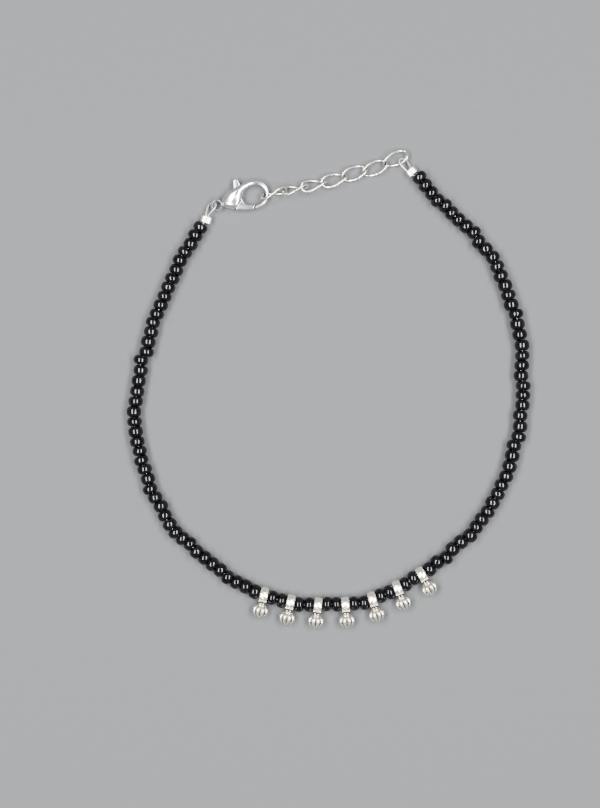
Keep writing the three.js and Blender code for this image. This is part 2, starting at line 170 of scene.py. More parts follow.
def put_away(thing):
    """Removes a model that has only been copied from."""
    bpy.data.objects.remove(thing)


def triangles(thing):
    thing.data.calc_loop_triangles()
    return len(thing.data.loop_triangles)


# %% [markdown]
# ## Where the pieces lie
# The strings follow one smooth line through chosen points, the same points as the CAD
# source. The CAD model was then moved so that its box is centred, so that small move is
# worked out here from one node that is easy to find: the pin of the clasp.

# %% The clasp's own frame and the move to the CAD frame
CLASP_ANGLE = radians(10.9)
EYE_AT = Vector((-22.5, 37.1, 1.35)) * MM  # before the move
PIVOT = Vector((4.6, 0.45, 0)) * MM  # the pin, in the clasp's frame
pin_low, pin_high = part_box("clasp_pin")
turn = Matrix.Rotation(CLASP_ANGLE, 4, "Z")
eye_at = (pin_low + pin_high) / 2 - turn @ PIVOT
CLASP = Matrix.Translation(eye_at) @ turn
SHIFT = (eye_at - EYE_AT).to_2d().to_3d()
print("move to the CAD frame in mm:", [round(v / MM, 3) for v in SHIFT])

# %% The line of the bead strings
STRING_ROUTE = [
    (-25.2, 33.4), (-28.0, 28.9), (-30.8, 23.8), (-33.3, 18.3), (-36.1, 10.7), (-37.8, 4.8),
    (-38.9, -1.4), (-39.2, -7.2), (-38.0, -12.9), (-36.2, -18.6), (-33.8, -24.1),
    (-30.4, -29.1), (-26.1, -33.0), (-20.0, -37.8), (-13.2, -41.3), (-7.7, -42.8),
    (-2.2, -43.4), (3.3, -43.3), (8.8, -42.2), (13.5, -40.1), (18.5, -37.3), (24.7, -32.5),
    (29.1, -28.3), (32.6, -23.4), (35.5, -17.8), (37.4, -11.9), (38.6, -6.0), (38.9, 0.1),
    (38.8, 6.3), (38.1, 12.3), (36.6, 18.1), (34.3, 23.9), (31.1, 29.0), (26.8, 33.5),
    (22.0, 38.3), (17.3, 43.2),
]
STEPS_BETWEEN_POINTS = 24


def smooth_line(points):
    """A centripetal Catmull-Rom line through level points, as closely spaced points."""
    knots = [Vector((x, y, 0)) * MM for x, y in points]
    knots = [2 * knots[0] - knots[1], *knots, 2 * knots[-1] - knots[-2]]
    line = []
    for a, b, c, d in zip(knots, knots[1:], knots[2:], knots[3:]):
        before, during, after = (math.sqrt((q - p).length) for p, q in ((a, b), (b, c), (c, d)))
        leaving = (b - a) / before - (c - a) / (before + during) + (c - b) / during
        arriving = (c - b) / during - (d - b) / (during + after) + (d - c) / after
        leaving, arriving = leaving * during, arriving * during
        for i in range(STEPS_BETWEEN_POINTS):
            t = i / STEPS_BETWEEN_POINTS
            line.append(
                b * (2 * t**3 - 3 * t**2 + 1) + leaving * (t**3 - 2 * t**2 + t)
                + c * (3 * t**2 - 2 * t**3) + arriving * (t**3 - t**2)
            )
    return [p + SHIFT for p in [*line, knots[-2]]]


route = smooth_line(STRING_ROUTE)
reached = [0.0]
for p, q in zip(route, route[1:]):
    reached.append(reached[-1] + (q - p).length)


def along(distance):
    """The point and the direction of the route at a distance from its clasp end."""
    i = max(1, min(len(route) - 1, bisect_left(reached, distance)))
    step = route[i] - route[i - 1]
    share = (distance - reached[i - 1]) / step.length
    return route[i - 1] + step * share, step.normalized()


print("route in mm:", round(reached[-1] / MM, 2))


# %% [markdown]
# ## Shader maths as plain sums
# A finish is a small node tree. Written out node by node it is hard to read, so a socket is
# wrapped in a class whose operators add the Math nodes. One method adds any other node:
# its kind, its settings and what goes into its sockets.

# %% Value and Finish
class Value:
    """An output socket that can be added, subtracted and multiplied."""

    def __init__(self, finish, socket):
        self.finish, self.socket = finish, socket

    def _sum(self, operation, first, second):
        return self.finish.node("ShaderNodeMath", {"operation": operation}, {0: first, 1: second})

    def __add__(self, other):
        return self._sum("ADD", self, other)

    def __sub__(self, other):
        return self._sum("SUBTRACT", self, other)

    def __rsub__(self, other):
        return self._sum("SUBTRACT", other, self)

    def __mul__(self, other):
        return self._sum("MULTIPLY", self, other)

    __radd__, __rmul__ = __add__, __mul__


class Finish:
    """A node material while it is put together."""

    def __init__(self, name):
        self.material = bpy.data.materials.new(name)
        self.material.use_nodes = True
        self.tree = self.material.node_tree
        self.tree.nodes.clear()
        self.place = self.node("ShaderNodeTexCoord", give="Object")

    def node(self, kind, settings=None, sockets=None, give=0):
        """Adds a node, sets it, fills its sockets and returns one of its outputs."""
        made = self.tree.nodes.new(kind)
        for key, value in (settings or {}).items():
            setattr(made, key, value)
        for key, value in (sockets or {}).items():
            if isinstance(value, Value):
                self.tree.links.new(value.socket, made.inputs[key])
            else:
                made.inputs[key].default_value = value
        return None if give is None else Value(self, made.outputs[give])

    def noise(self, size, detail):
        """Cloudy values about 0.5, with patches of about this size in metres."""
        sockets = {"Vector": self.place, "Scale": 1 / size, "Detail": detail}
        return self.node("ShaderNodeTexNoise", None, sockets)

    def between(self, factor, *colours):
        """A colour between two, by a factor."""
        first, second = (c if isinstance(c, Value) else (*c, 1) for c in colours)
        sockets = {0: factor, 6: first, 7: second}
        return self.node("ShaderNodeMix", {"data_type": "RGBA"}, sockets, 2)

    def mapped(self, value, low, high, to_low=0.0, to_high=1.0):
        """The value's range from low to high, stretched to another and clamped."""
        sockets = {0: value, 1: low, 2: high, 3: to_low, 4: to_high}
        return self.node("ShaderNodeMapRange", {"clamp": True}, sockets)

    def bump(self, height, depth):
        """A surface raised by up to this depth in metres."""
        return self.node("ShaderNodeBump", None, {"Height": height, "Distance": depth}, "Normal")

    def close(self, sockets):
        """Ends the tree in a Principled shader with these sockets filled."""
        shader = self.node("ShaderNodeBsdfPrincipled", None, sockets)
        self.node("ShaderNodeOutputMaterial", None, {"Surface": shader}, None)
        return self.material


def dress(thing, material):
    thing.data.materials.clear()
    thing.data.materials.append(material)
    return thing


# %% [markdown]
# ## Finishes
# Black seed beads are pressed glass: deep black, glossy, with a slightly wavy skin that
# breaks the highlights up. Cast and cut silver is bright where it is rubbed and dark where
# it is sheltered. What is sheltered is found by asking how much open sky the surface sees
# (ambient occlusion), so the same finish suits every silver piece, each with its own tone,
# polish and amount of darkening. That darkening is tarnish in the grooves, and painted shade
# where parts touch or cross and close to the floor.

# %% Glass, silver, wire and floor
# how far the occlusion looks for shelter: the reach of the tarnish and of the painted shade
TARNISH_AND_SHADE_REACH = 0.5 * MM


def black_glass():
    finish = Finish("black_glass")
    waves = finish.noise(1.1 * MM, 1.5)
    dust = finish.noise(0.12 * MM, 3)
    tone = finish.mapped(waves, 0.35, 0.7)
    return finish.close({
        "Base Color": finish.between(tone, (0.004, 0.004, 0.005), (0.010, 0.009, 0.011)),
        "Roughness": 0.05 + finish.mapped(dust, 0.5, 0.8, 0, 0.12),
        "IOR": 1.52,
        "Normal": finish.bump(waves, 0.05 * MM),
    })


def silver(name, bright, tarnish_and_shade, groove, roughness, grain, metal):
    """Polished silver, darkened where it is sheltered from the open sky: tarnish and painted
    shade.
    """
    finish = Finish(name)
    nearby = {"Distance": TARNISH_AND_SHADE_REACH}
    sky = finish.node("ShaderNodeAmbientOcclusion", {"samples": 8}, nearby, "AO")
    clouds = finish.noise(0.9 * MM, 3)
    scratches = finish.noise(0.22 * MM, 4)
    # where the surface sees little open sky the base colour is darkened: tarnish in the grooves,
    # painted shade where parts touch or cross and close to the floor
    clean_and_unshaded = finish.mapped(sky + 0.25 * (clouds - 0.5), *groove)
    tone = finish.mapped(clouds, 0.35, 0.65)
    polished = finish.between(tone, bright, [0.9 * c for c in bright])
    return finish.close({
        "Base Color": finish.between(clean_and_unshaded, tarnish_and_shade, polished),
        "Metallic": metal,
        "Roughness": roughness + 0.1 * (scratches - 0.5) + 0.25 * (1 - clean_and_unshaded),
        "Normal": finish.bump(scratches, grain),
    })


def coated_wire():
    finish = Finish("coated_wire")
    strands = finish.noise(0.15 * MM, 2)
    return finish.close({
        "Base Color": finish.between(strands, (0.62, 0.62, 0.60), (0.82, 0.82, 0.80)),
        "Metallic": 0.65,
        "Roughness": finish.mapped(strands, 0.3, 0.7, 0.22, 0.4),
        "Normal": finish.bump(strands, 0.01 * MM),
    })


def pale_floor():
    finish = Finish("pale_floor")
    paper = finish.noise(1.5 * MM, 4)
    return finish.close({
        "Base Color": finish.between(paper, (0.118, 0.121, 0.127), (0.126, 0.129, 0.135)),
        "Roughness": 0.75,
        "Normal": finish.bump(paper, 0.02 * MM),
    })


BLACK_GLASS = black_glass()
# the dark colour and occlusion range of each silver set its tarnish and painted shade; where
# links cross on the chain, and where bell and bail meet, the darkening is painted shade
BELL_SILVER = silver("bell_silver", (0.95, 0.895, 0.785), (0.04, 0.036, 0.03), (0.58, 0.94),
                     0.27, 0.012 * MM, 0.85)
CLASP_SILVER = silver("clasp_silver", (0.95, 0.95, 0.94), (0.10, 0.10, 0.10), (0.38, 0.86),
                      0.2, 0.008 * MM, 0.96)
CHAIN_SILVER = silver("chain_silver", (0.93, 0.89, 0.80), (0.08, 0.07, 0.05), (0.45, 0.9),
                      0.24, 0.008 * MM, 0.94)
CRIMP_SILVER = silver("crimp_silver", (0.95, 0.93, 0.86), (0.10, 0.09, 0.07), (0.4, 0.9),
                      0.3, 0.02 * MM, 0.85)
COATED_WIRE = coated_wire()
PALE_FLOOR = pale_floor()
print("finishes:", len(bpy.data.materials))

# %% [markdown]
# ## One bead
# A seed bead is a slice of glass tube whose edges were fire-polished round. It could be a
# squashed sphere with a hole cut through, but then the hole has a ragged edge. Spinning its
# half-section is cleaner: a small rectangle, its two outer corners rounded wide and its two
# inner ones a little, turned once about the hole.

# %% Model the bead
BEAD_D = 2.9 * MM
BEAD_LENGTH = 1.95 * MM
BEAD_BORE = 0.8 * MM
OUTER_ROUND = 0.82 * MM
INNER_ROUND = 0.12 * MM
BEAD_TURNS = 30


def model_bead():
    bpy.ops.object.select_all(action="DESELECT")
    bpy.ops.mesh.primitive_plane_add(size=1)
    bead = added("bead_model")
    wall = (BEAD_D - BEAD_BORE) / 2
    middle = (BEAD_D + BEAD_BORE) / 4
    begin(bead)
    bpy.ops.mesh.select_all(action="SELECT")
    bpy.ops.transform.resize(value=(BEAD_LENGTH, wall, 1))
    bpy.ops.transform.translate(value=(0, middle, 0))
    pick(bead, "VERT", lambda v: v.co.y > middle)
    bpy.ops.mesh.bevel(offset=OUTER_ROUND, segments=6, affect="VERTICES")
    pick(bead, "VERT", lambda v: v.co.y < BEAD_BORE / 2 + MERGE)
    bpy.ops.mesh.bevel(offset=INNER_ROUND, segments=2, affect="VERTICES")
    bpy.ops.mesh.select_all(action="SELECT")
    bpy.ops.mesh.delete(type="ONLY_FACE")
    bpy.ops.mesh.select_all(action="SELECT")
    bpy.ops.mesh.spin(steps=BEAD_TURNS, angle=2 * math.pi, center=(0, 0, 0), axis=(1, 0, 0))
    end()
    close_up(bead)
    smooth(bead, 60)
    return dress(bead, BLACK_GLASS)


bead_model = model_bead()
print("bead:", triangles(bead_model), "triangles")

# %% [markdown]
# ## Stringing the beads
# No two seed beads are alike, and on a slack thread they lean and step out of line. Each
# copy therefore gets its own length, width, tilt and small step to the side, drawn from a
# seeded dice so that the anklet is the same every time. The two long strings are one piece
# each; the front beads stay loose pieces.

# %% Place every bead
BAIL_WIDTH = 1.55 * MM
THREAD_GAP = 0.1 * MM  # on both sides of a loose bead
STRING_GAP = 0.04 * MM  # between the beads of the two long strings
FRONT_BEAD = 1.85 * MM  # room for each of the loose beads
FRONT_FILL = 0.96  # of that room, so that leaning neighbours stay clear of each other
BELLS = 7
BEADS_BETWEEN = 2
MIDDLE_BELL_AT = 105.4 * MM
BELL_STEP = BAIL_WIDTH + BEADS_BETWEEN * FRONT_BEAD + (BEADS_BETWEEN + 1) * THREAD_GAP
BEAD_STEP = 2.02 * MM
SIDE_STEP = 0.17 * MM
LEAN = radians(3.5)
dice = random.Random(7)
bead_centres = []


def bell_at(i):
    return MIDDLE_BELL_AT + (i - (BELLS - 1) / 2) * BELL_STEP


def place_bead(name, distance, room):
    """A copy of the bead at a distance along the route, as long as its room allows."""
    point, ahead = along(distance)
    girth = dice.uniform(1.0, 1.05)
    aside = max(-2, min(2, dice.gauss(0, 1))) * SIDE_STEP
    centre = point + Vector((-ahead.y, ahead.x, 0)) * aside
    centre.z = girth * BEAD_D / 2
    heading = math.atan2(ahead.y, ahead.x) + dice.gauss(0, LEAN)
    matrix = (
        Matrix.Translation(centre)
        @ Matrix.Rotation(heading, 4, "Z")
        @ Matrix.Rotation(dice.gauss(0, LEAN / 2), 4, "Y")
        @ Matrix.Rotation(dice.uniform(0, math.pi), 4, "X")
        @ Matrix.Diagonal((room / BEAD_LENGTH, girth, girth, 1))
    )
    bead_centres.append((distance, centre))
    return copy_to(bead_model, name, matrix)


def string_of_beads(name, node, start, stop):
    count = round((stop - start) / BEAD_STEP)
    shares = [dice.uniform(0.9, 1.1) for _ in range(count)]
    scale = (stop - start) / sum(shares)
    beads, at = [], start
    for i, share in enumerate(shares):
        room = share * scale
        beads.append(place_bead(f"{name}_{i}", at + room / 2, room - STRING_GAP))
        at += room
    string = joined(name, beads)
    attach(string, "anklet")
    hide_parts(node)
    print(name, count, "beads,", triangles(string), "triangles")


edge = BAIL_WIDTH / 2 + THREAD_GAP
string_of_beads("beads_left", "bead_string_left", 0, bell_at(0) - edge)
number = 0
for i in range(BELLS - 1):
    for j in range(BEADS_BETWEEN):
        number += 1
        offset = edge + j * (FRONT_BEAD + THREAD_GAP) + FRONT_BEAD / 2
        bead = place_bead(f"glass_bead_{number}", bell_at(i) + offset, FRONT_FILL * FRONT_BEAD)
        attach(bead, "anklet")
        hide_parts(f"front_bead_{number}")
string_of_beads("beads_right", "bead_string_right", bell_at(BELLS - 1) + edge, reached[-1])
put_away(bead_model)

# %% [markdown]
# ## The wire through the beads
# Beading wire is a fine steel cable in a clear coat. Between the beads only slivers of it
# show, so a plain round wire is enough, but it has to pass through every bead's hole. A
# curve is the natural tool: its knots sit at the bead centres, and its bevel gives it
# thickness before it is made a mesh.

# %% Draw a wire through points
WIRE_D = 0.4 * MM


def wire(name, points, thickness, sides, steps):
    """A round wire through points; more sides and steps make it smoother."""
    bpy.ops.object.select_all(action="DESELECT")
    bpy.ops.curve.primitive_bezier_curve_add()
    line = added(name)
    line.data.resolution_u = steps
    line.data.bevel_depth = thickness / 2
    line.data.bevel_resolution = sides
    line.data.use_fill_caps = True
    spline = line.data.splines[0]
    spline.bezier_points.add(len(points) - 2)
    for knot, point in zip(spline.bezier_points, points):
        knot.handle_left_type = knot.handle_right_type = "AUTO"
        knot.co = point
    alone(line)
    bpy.ops.object.convert(target="MESH")
    close_up(line)
    smooth(line, 60)
    return line


bead_centres.sort(key=lambda row: row[0])
thread = wire("stringing_wire", [centre for _, centre in bead_centres], WIRE_D, 2, 3)
dress(thread, COATED_WIRE)
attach(thread, "anklet")
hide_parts("front_wire")
print("stringing wire:", triangles(thread), "triangles")

# %% [markdown]
# ## A bell and its bail
# Each charm is a tiny ghungroo: a hollow bell pressed in eight lobes, with four slots that
# meet at its free end, two solder beads at its neck, and a diamond-cut ring (the bail) that is
# threaded between the beads. One charm is modelled about its bail: the wire along X, the
# bell towards -Y, up along Z. The bail starts as an open cylinder whose middle ring of
# corners is drawn out and turned half a facet, which gives the row of bright triangles.

# %% Model the bail
BAIL_D = 3.3 * MM
BAIL_FACETS = 14
BAIL_RIM = 0.16 * MM
BAIL_EDGE = 0.92  # its radius at the rims, as a share
BAIL_CREST = 1.08  # how far the middle ring stands out over the rims
BAIL_WALL = 0.42 * MM
BAIL_ROUND = 0.04 * MM


def model_bail():
    bpy.ops.object.select_all(action="DESELECT")
    bpy.ops.mesh.primitive_cylinder_add(
        vertices=BAIL_FACETS, radius=BAIL_D / 2 * BAIL_EDGE, depth=BAIL_WIDTH,
        end_fill_type="NOTHING", rotation=(0, math.pi / 2, 0),
    )
    bail = added("bail_model")
    bpy.ops.object.transform_apply(location=False, rotation=True, scale=False)
    begin(bail, "EDGE")
    pick(bail, "EDGE", lambda e: abs(e.verts[0].co.x - e.verts[1].co.x) > BAIL_WIDTH / 2)
    bpy.ops.mesh.subdivide(number_cuts=3)
    pick(bail, "VERT", lambda v: MERGE < abs(v.co.x) < BAIL_WIDTH * 0.4)
    spread = (BAIL_WIDTH / 2 - BAIL_RIM) / (BAIL_WIDTH / 4)
    bpy.ops.transform.resize(value=(spread, 1.0, 1.0))
    pick(bail, "VERT", lambda v: abs(v.co.x) < MERGE)
    bpy.ops.transform.resize(value=(1, BAIL_CREST, BAIL_CREST))
    bpy.ops.transform.rotate(value=math.pi / BAIL_FACETS, orient_axis="X",
                             center_override=(0, 0, 0))
    pick(bail, "FACE", lambda f: abs(middle_of(f).x) < BAIL_WIDTH / 2 - BAIL_RIM)
    bpy.ops.mesh.quads_convert_to_tris(quad_method="SHORTEST_DIAGONAL")
    end()
    close_up(bail)
    apply_modifier(bail, "SOLIDIFY", thickness=BAIL_WALL, offset=-1)
    apply_modifier(bail, "BEVEL", width=BAIL_ROUND, segments=2, limit_method="ANGLE",
                   angle_limit=radians(50))
    smooth(bail, 14)
    return bail


bail_model = model_bail()
print("bail:", triangles(bail_model), "triangles")

# %% [markdown]
# The bell could be a sphere with grooves cut into it, but the real one is a cone-like
# shoulder that breaks at its widest ring into a rounded, lobed belly. So it is drawn out
# ring by ring from a circle at the neck, then the corners that lie in the grooves are
# pulled in, and a subdivision rounds the whole while the creases keep the grooves sharp.

# %% Model the bell
BELL_D = 3.15 * MM
BELL_SWELL = 1.07  # makes up for what the subdivision takes off
BELL_WALL = 0.22 * MM
BELL_REACH = 3.1 * MM  # from the middle of the bail to the middle of the bell
BELL_DROP = (BELL_D - BAIL_D) / 2  # so that both rest on the same surface
LOBES = 8
BELL_SIDES = LOBES * 4
SLOTS = 4
BELL_RINGS = [  # share of the bell's radius: towards the neck, and out from its axis
    (0.88, 0.22), (0.80, 0.34), (0.62, 0.56), (0.42, 0.78), (0.22, 0.95), (0.06, 1.0),
    (-0.16, 0.97), (-0.40, 0.88), (-0.62, 0.73), (-0.80, 0.53), (-0.92, 0.32), (-0.98, 0.12),
]
GROOVE = 0.16  # share of the radius, all along; on the belly it is drawn in twice
GROOVES_UP_TO = 0.9  # share of the radius, towards both ends
BELLY = (-0.95, 0.1)  # its foot and its top, as shares of the radius
GROOVE_CREASE = 0.9
SHOULDER_CREASE = 0.5
SLOT_WIDTH = 0.2 * MM
SLOT_HOLE = 0.5 * MM
SLOT_AT = -0.62  # middle of a slot along the bell, as a share of its radius
HOLE_AT = -0.3


def groove_angle(point):
    """How far a point is, in degrees round the bell, from the nearest groove."""
    around = math.degrees(math.atan2(point.x, point.z))
    return abs((around + 180 / LOBES) % (360 / LOBES) - 180 / LOBES)


def model_bell():
    radius = BELL_D / 2 * BELL_SWELL
    first, rest = BELL_RINGS[0], BELL_RINGS[1:]
    bpy.ops.object.select_all(action="DESELECT")
    bpy.ops.mesh.primitive_circle_add(
        vertices=BELL_SIDES, radius=first[1] * radius, location=(0, first[0] * radius, 0),
        rotation=(math.pi / 2, 0, 0),
    )
    bell = added("bell_model")
    bpy.ops.object.transform_apply(location=True, rotation=True, scale=False)
    begin(bell, "VERT")
    bpy.ops.mesh.select_all(action="SELECT")
    at, out = first
    for next_at, next_out in rest:
        move = (0, (next_at - at) * radius, 0)
        bpy.ops.mesh.extrude_region_move(TRANSFORM_OT_translate={"value": move})
        wider = next_out / out
        bpy.ops.transform.resize(value=(wider, 1, wider),
                                 center_override=(0, next_at * radius, 0))
        at, out = next_at, next_out
    bpy.ops.mesh.merge(type="CENTER")
    for foot, top in ((-GROOVES_UP_TO, GROOVES_UP_TO), BELLY):
        pick(bell, "VERT", lambda v: groove_angle(v.co) < 1
             and foot * radius < v.co.y < top * radius)
        bpy.ops.transform.resize(value=(1 - GROOVE, 1, 1 - GROOVE), center_override=(0, 0, 0))
    pick(bell, "EDGE", lambda e: all(groove_angle(v.co) < 2 for v in e.verts)
         and abs(e.verts[0].co.y - e.verts[1].co.y) > MERGE)
    bpy.ops.transform.edge_crease(value=GROOVE_CREASE)
    pick(bell, "EDGE", lambda e: all(abs(groove_angle(v.co) - 180 / LOBES) < 2 for v in e.verts)
         and middle_of(e).y > 0)
    bpy.ops.transform.edge_crease(value=SHOULDER_CREASE)
    end()
    close_up(bell)
    apply_modifier(bell, "SUBSURF", levels=1, render_levels=1)
    apply_modifier(bell, "SOLIDIFY", thickness=BELL_WALL, offset=-1)
    return bell


def cut_slots(bell):
    """Slots that meet at the free end, each ending in a round hole."""
    radius = BELL_D / 2
    cutters = []
    for i in range(SLOTS):
        bpy.ops.object.select_all(action="DESELECT")
        bpy.ops.mesh.primitive_cube_add(size=1, location=(0, SLOT_AT * radius, radius * 0.5),
                                        scale=(SLOT_WIDTH, radius * 0.9, radius * 1.2))
        slot = added("slot_cutter")
        begin(slot)
        bpy.ops.mesh.select_all(action="SELECT")
        bpy.ops.mesh.bevel(offset=SLOT_WIDTH * 0.2, segments=2)
        end()
        bpy.ops.object.select_all(action="DESELECT")
        bpy.ops.mesh.primitive_cylinder_add(vertices=14, radius=SLOT_HOLE / 2, depth=radius,
                                            location=(0, HOLE_AT * radius, radius * 0.9))
        hole = added("hole_cutter")
        cutters.append((slot, hole, Matrix.Rotation(radians((i + 0.5) * 360 / SLOTS), 4, "Y")))
    for slot, hole, turned in cutters:
        for cutter in (slot, hole):
            cutter.matrix_world = turned @ cutter.matrix_world
            apply_modifier(bell, "BOOLEAN", object=cutter, operation="DIFFERENCE",
                           solver="EXACT")
            put_away(cutter)


bell_model = model_bell()
cut_slots(bell_model)
smooth(bell_model, 32)
print("bell:", triangles(bell_model), "triangles")

# %% [markdown]
# Between bail and bell sits a short neck: a collar, and two balls of solder that catch the
# light. The balls are ico spheres pressed a little flat; the collar is a short turned post.

# %% Model the neck and hang the seven charms
BALL_D = 0.56 * MM
BALL_HEIGHT = 0.32 * MM
COLLAR_D = 0.84 * MM
COLLAR_LENGTH = 0.75 * MM
COLLAR_HEIGHT = -0.05 * MM
COLLAR_ROUND = 0.08 * MM
NECK_AT = 1.78 * MM
LEANS = (-13, -13, -8, 4, 16, 21, 28)  # way each charm points, in degrees from straight down
LEAN_SPREAD = 0.5  # degrees


def model_neck():
    parts = []
    for side in (-1, 1):
        bpy.ops.object.select_all(action="DESELECT")
        bpy.ops.mesh.primitive_ico_sphere_add(
            subdivisions=3, radius=BALL_D / 2,
            location=(side * BALL_D * 0.5, -NECK_AT, BALL_HEIGHT), scale=(1, 0.9, 0.95))
        parts.append(added("solder_ball"))
    bpy.ops.object.select_all(action="DESELECT")
    bpy.ops.mesh.primitive_cylinder_add(
        vertices=20, radius=COLLAR_D / 2, depth=COLLAR_LENGTH,
        location=(0, -NECK_AT, COLLAR_HEIGHT), rotation=(math.pi / 2, 0, 0))
    collar = added("collar")
    begin(collar, "FACE")
    pick(collar, "FACE", lambda f: len(f.verts) > 4)
    bpy.ops.mesh.bevel(offset=COLLAR_ROUND, segments=3)
    end()
    parts.append(collar)
    neck = joined("neck_model", parts)
    bpy.ops.object.transform_apply(location=True, rotation=True, scale=True)
    smooth(neck, 40)
    return neck


neck_model = model_neck()
bell_place = Matrix.Translation((0, -BELL_REACH, BELL_DROP))
hung_bell = copy_to(bell_model, "hung_bell", bell_place)
charm_model = joined("charm_model", [bail_model, neck_model, hung_bell])
put_away(bell_model)
dress(charm_model, BELL_SILVER)
for i, lean in enumerate(LEANS):
    point, ahead = along(bell_at(i))
    point.z = BAIL_D / 2
    turned = Matrix.Rotation(radians(lean + dice.gauss(0, LEAN_SPREAD)), 4, "Z")
    place = Matrix.Translation(point) @ turned
    charm = copy_to(charm_model, f"charm_{i + 1}", place)
    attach(charm, "anklet")
    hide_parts(f"bell_{i + 1}")
print("charm:", triangles(charm_model), "triangles")
put_away(charm_model)

# %% [markdown]
# ## The curb chain
# A curb link is an oval of wire given a little more than a quarter turn, so that every link
# nestles into the next. The oval is a Bezier circle pulled long, its wire a round bevel; made
# a mesh, it is twisted about its length. Where a link was closed, a fine groove runs round
# the wire: one ring of corners there is drawn in. Next to the hook the links stand on edge,
# and further on they roll over and lie flatter, so each link has a roll of its own.

# %% Model a link and lay the chain
LINK_LENGTH = 5.65 * MM
LINK_WIDTH = 3.05 * MM
LINK_WIRE = 0.5 * MM
LINK_TWIST = radians(-100)
SEAM = 0.8  # how thin the wire is where the link was closed
LINKS = [  # middle of each link in millimetres, its heading and its roll in degrees
    (-10.95, 39.80, 19, 90), (-6.65, 40.69, 13, 110), (-2.86, 41.51, 13, 136),
    (1.18, 42.54, 16, 158), (5.31, 43.94, 21, 174), (9.40, 44.92, 24, 186),
    (13.56, 46.80, 24, 196),
]


def model_link():
    bpy.ops.object.select_all(action="DESELECT")
    bpy.ops.curve.primitive_bezier_circle_add(radius=1)
    oval = added("link_model")
    reach, half_width = (LINK_LENGTH - LINK_WIRE) / 2, (LINK_WIDTH - LINK_WIRE) / 2
    bpy.ops.object.mode_set(mode="EDIT")
    bpy.ops.curve.select_all(action="SELECT")
    bpy.ops.transform.resize(value=(reach, half_width, 1))
    bpy.ops.object.mode_set(mode="OBJECT")
    oval.data.bevel_depth = LINK_WIRE / 2
    oval.data.bevel_resolution = 4
    oval.data.resolution_u = 18
    alone(oval)
    bpy.ops.object.convert(target="MESH")
    close_up(oval)
    begin(oval)
    pick(oval, "VERT", lambda v: abs(v.co.x) < 0.01 * MM and v.co.y > 0)
    bpy.ops.transform.resize(value=(1, SEAM, SEAM), center_override=(0, half_width, 0))
    end()
    apply_modifier(oval, "SIMPLE_DEFORM", deform_method="TWIST", deform_axis="X",
                   angle=LINK_TWIST)
    smooth(oval, 60)
    return dress(oval, CHAIN_SILVER)


link_model = model_link()
heights = [sum(corner.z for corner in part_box(f"chain_link_{i + 1}")) / 2
           for i in range(len(LINKS))]
for i, (x, y, heading, roll) in enumerate(LINKS):
    near, far = max(0, i - 1), min(len(LINKS) - 1, i + 1)
    apart = Vector(LINKS[far][:2]) - Vector(LINKS[near][:2])
    rise = math.atan2(heights[far] - heights[near], apart.length * MM)
    place = (
        Matrix.Translation((x * MM, y * MM, heights[i]))
        @ Matrix.Rotation(radians(heading), 4, "Z")
        @ Matrix.Rotation(-rise, 4, "Y")
        @ Matrix.Rotation(radians(roll), 4, "X")
    )
    link = copy_to(link_model, f"curb_link_{i + 1}", place)
    lowest = min(corner.co.z for corner in link.data.vertices)
    if lowest < 0:
        link.data.transform(Matrix.Translation((0, 0, -lowest)))
    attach(link, "anklet")
    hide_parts(f"chain_link_{i + 1}")
print(len(LINKS), "links of", triangles(link_model), "triangles")
put_away(link_model)

# %% [markdown]
# ## The lobster clasp
# The body is one casting: an eye, a belly that widens and thickens, and a hook that tapers
# round to its tip. It could be lofted from sections, but a casting has no even sections, so
# it is drawn as a sheet instead, seen from above: a grid with five corners across, which are
# dragged to the back of the clasp, to its shoulder, ridge and foot, and to its inside.
# Extruded to a thickness and subdivided, the sheet swells into a smooth casting. Shoulder,
# ridge and foot keep a crease over the belly, where the real one has its long highlights.

# %% Lay out the sheet: back, ridge and inside of the clasp, in its own frame
BELLY_ROWS = [  # back, shoulder, ridge, foot and inside; half the height at each of them
    ((0.92, 0.78), (0.98, 0.32), (1.00, 0.06), (1.00, -0.15), (0.96, -0.40)),
    (0.34, 0.46, 0.50, 0.46, 0.34),
    ((1.40, 1.36), (1.62, 0.46), (1.70, 0.02), (1.72, -0.32), (1.68, -0.82)),
    (0.42, 0.78, 0.86, 0.78, 0.42),
    ((2.12, 1.94), (2.38, 0.86), (2.48, 0.12), (2.50, -0.42), (2.50, -1.22)),
    (0.68, 1.02, 1.14, 1.00, 0.66),
    ((2.88, 2.44), (3.14, 1.30), (3.22, 0.32), (3.25, -0.48), (3.25, -1.48)),
    (0.84, 1.16, 1.28, 1.12, 0.84),
    ((3.62, 2.74), (3.84, 1.70), (3.86, 0.78), (3.90, -0.36), (3.82, -1.40)),
    (0.88, 1.22, 1.32, 1.16, 0.88),
    ((4.34, 2.92), (4.48, 2.04), (4.42, 1.28), (4.50, 0.16), (4.44, -0.78)),
    (0.90, 1.20, 1.28, 1.14, 0.90),
    ((5.02, 3.06), (5.02, 2.36), (4.94, 1.76), (4.96, 0.92), (5.02, -0.06)),
    (0.90, 1.12, 1.16, 1.04, 0.90),
    ((5.68, 3.28), (5.58, 2.70), (5.50, 2.24), (5.40, 1.72), (5.16, 0.92)),
    (0.84, 1.00, 1.02, 0.94, 0.84),
    ((6.40, 3.48), (6.28, 3.04), (6.20, 2.72), (6.08, 2.34), (5.80, 1.80)),
    (0.70, 0.88, 0.90, 0.82, 0.68),
    ((7.20, 3.62), (7.12, 3.26), (7.06, 3.02), (6.98, 2.76), (6.82, 2.44)),
    (0.56, 0.78, 0.80, 0.74, 0.56),
]
